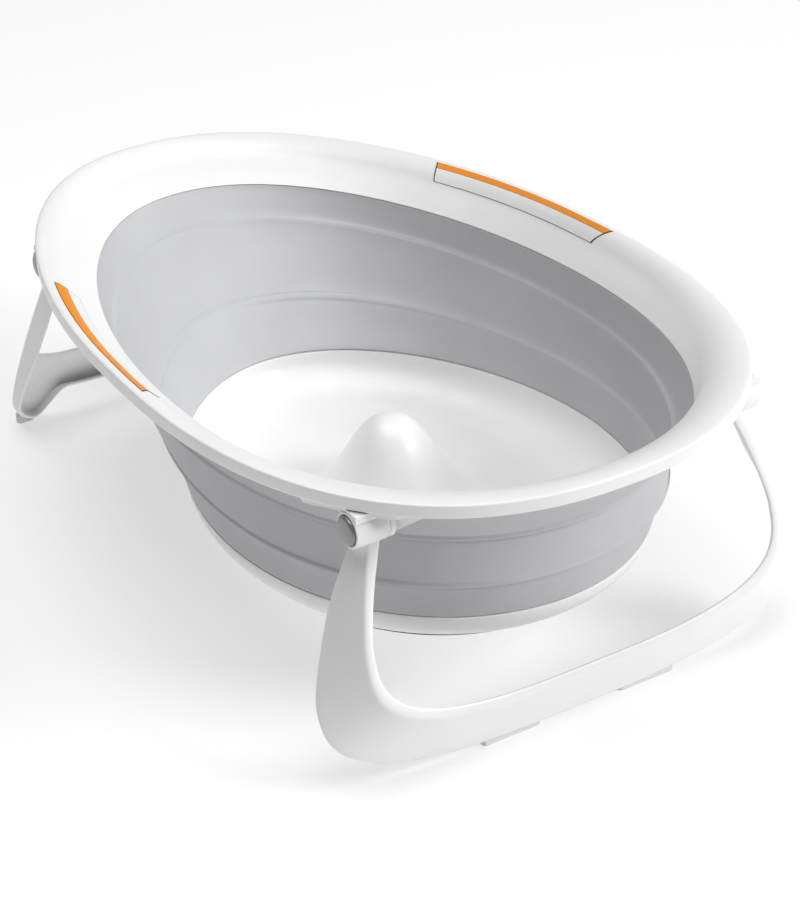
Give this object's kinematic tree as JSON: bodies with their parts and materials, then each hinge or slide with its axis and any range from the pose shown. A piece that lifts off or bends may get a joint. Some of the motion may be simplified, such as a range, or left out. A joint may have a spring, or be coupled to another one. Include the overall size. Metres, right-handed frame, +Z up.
{
  "type": "folding baby bathtub",
  "caption": "Oval folding baby bathtub: rigid rim, collapsing flexible wall, hard base with a seat bump and drain plug, and U-shaped legs that fold under.",
  "frame": {"origin": "on the floor, under the middle of the rim's outline; the tub stands on its four foot pads", "axes": "+X towards the foot end with the drain, +Y to the left of a baby facing that end, +Z up"},
  "size_m": [0.68, 0.4452, 0.2174],
  "materials": {
    "shell_white": "satin gloss injection-moulded white polypropylene",
    "wall_gray": "matte cool gray thermoplastic elastomer",
    "grip_dark": "matte dark non-slip ring",
    "plug_gray": "matte gray moulded stopper",
    "pad_rubber": "matte pale gray non-slip pad",
    "button_silver": "satin silver-gray button cap",
    "steel": "zinc-plated steel"
  },
  "bodies": {
    "root": {"rim_collar": "shell_white", "wall_upper_band": "wall_gray", "hinge_bracket_front_left": "shell_white", "bracket_screw_front_left_1": "steel", "bracket_screw_front_left_2": "steel", "hinge_bracket_front_right": "shell_white", "bracket_screw_front_right_1": "steel", "bracket_screw_front_right_2": "steel", "hinge_bracket_rear_left": "shell_white", "bracket_screw_rear_left_1": "steel", "bracket_screw_rear_left_2": "steel", "hinge_bracket_rear_right": "shell_white", "bracket_screw_rear_right_1": "steel", "bracket_screw_rear_right_2": "steel"},
    "wall_middle": {"wall_middle_band": "wall_gray"},
    "base": {"base_tray": "shell_white", "wall_lower_band": "wall_gray", "base_grip_ring": "grip_dark"},
    "drain_plug_body": {"drain_plug": "plug_gray"},
    "front_leg": {"front_leg": "shell_white", "pivot_pin_front_left": "steel", "front_foot_pad_left": "pad_rubber", "button_spring_front_left": "steel", "pivot_pin_front_right": "steel", "front_foot_pad_right": "pad_rubber", "button_spring_front_right": "steel"},
    "button_front_left": {"release_button_front_left": "button_silver", "lock_gear_front_left": "steel"},
    "button_front_right": {"release_button_front_right": "button_silver", "lock_gear_front_right": "steel"},
    "rear_leg": {"rear_leg": "shell_white", "pivot_pin_rear_left": "steel", "rear_foot_pad_left": "pad_rubber", "button_spring_rear_left": "steel", "pivot_pin_rear_right": "steel", "rear_foot_pad_right": "pad_rubber", "button_spring_rear_right": "steel"},
    "button_rear_left": {"release_button_rear_left": "button_silver", "lock_gear_rear_left": "steel"},
    "button_rear_right": {"release_button_rear_right": "button_silver", "lock_gear_rear_right": "steel"}
  },
  "joints": [
    {"name": "tub_collapse", "type": "slide", "parent": "root", "child": "base", "axis": [0, 0, 1], "range_m": [0, 0.084]},
    {"name": "wall_fold", "type": "slide", "parent": "root", "child": "wall_middle", "axis": [0, 0, 1], "range_m": [0, 0.042]},
    {"name": "drain_plug_pull", "type": "slide", "parent": "base", "child": "drain_plug_body", "axis": [0, 0, 1], "range_m": [0, 0.03]},
    {"name": "front_leg_fold", "type": "hinge", "parent": "root", "child": "front_leg", "pos_m": [0.2625, 0, 0.1905], "axis": [0, 1, 0], "range_deg": [0, 72]},
    {"name": "button_press_front_left", "type": "slide", "parent": "front_leg", "child": "button_front_left", "axis": [0, -1, 0], "range_m": [0, 0.0025], "stiffness_N_per_m": 600, "springref_m": -0.002, "deforming": ["button_spring_front_left"]},
    {"name": "button_press_front_right", "type": "slide", "parent": "front_leg", "child": "button_front_right", "axis": [0, 1, 0], "range_m": [0, 0.0025], "stiffness_N_per_m": 600, "springref_m": -0.002, "deforming": ["button_spring_front_right"]},
    {"name": "rear_leg_fold", "type": "hinge", "parent": "root", "child": "rear_leg", "pos_m": [-0.213, 0, 0.1832], "axis": [0, -1, 0], "range_deg": [0, 80]},
    {"name": "button_press_rear_left", "type": "slide", "parent": "rear_leg", "child": "button_rear_left", "axis": [0, -1, 0], "range_m": [0, 0.0025], "stiffness_N_per_m": 600, "springref_m": -0.002, "deforming": ["button_spring_rear_left"]},
    {"name": "button_press_rear_right", "type": "slide", "parent": "rear_leg", "child": "button_rear_right", "axis": [0, 1, 0], "range_m": [0, 0.0025], "stiffness_N_per_m": 600, "springref_m": -0.002, "deforming": ["button_spring_rear_right"]}
  ],
  "couplings": [
    {"joint": "wall_fold", "follows": "tub_collapse", "ratio": 0.5},
    {"joint": "front_leg_fold", "follows": "tub_collapse", "rad_per_m": 14.96},
    {"joint": "rear_leg_fold", "follows": "tub_collapse", "rad_per_m": 16.622}
  ]
}
